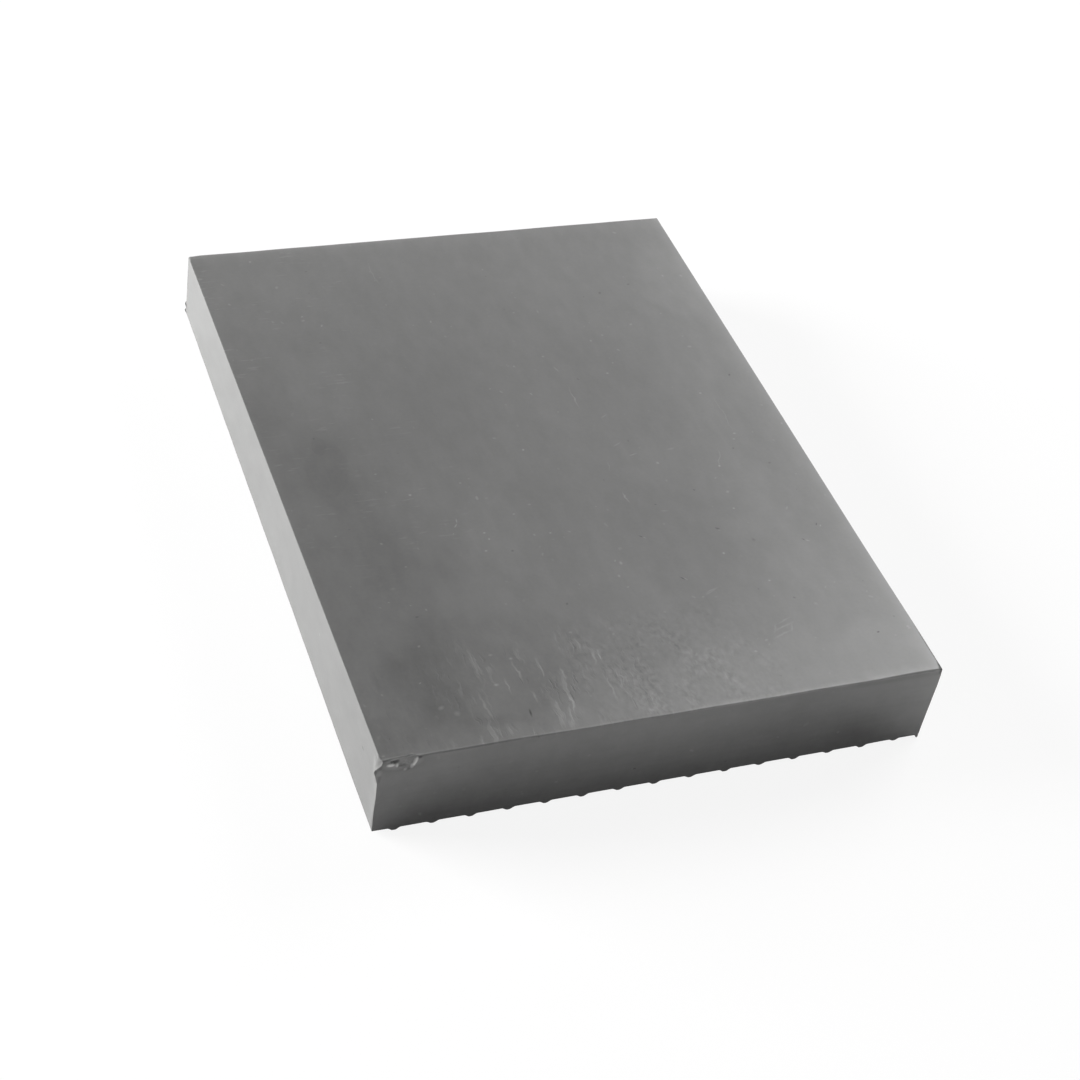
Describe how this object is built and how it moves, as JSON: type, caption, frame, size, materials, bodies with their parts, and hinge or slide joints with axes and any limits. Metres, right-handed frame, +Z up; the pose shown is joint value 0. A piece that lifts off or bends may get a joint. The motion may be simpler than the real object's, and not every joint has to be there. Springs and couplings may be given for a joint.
{
  "type": "rubber block",
  "caption": "Solid rubber block with a plain top and a finely ribbed underside, cut from strip, for padding and supporting a load.",
  "frame": {"origin": "under the middle of the block, on the plane of the rib tips that it stands on", "axes": "+X across the ribs to the right, +Y along the ribs to the back, +Z up to the plain top face; the torn corner is at front left"},
  "size_m": [0.1211, 0.1611, 0.0206],
  "materials": {
    "rubber": "matt mid-grey rubber with a faint sheen, fine pale specks and scuffs along the ribs' direction"
  },
  "bodies": {
    "root": {"rubber_block": "rubber"}
  },
  "joints": []
}
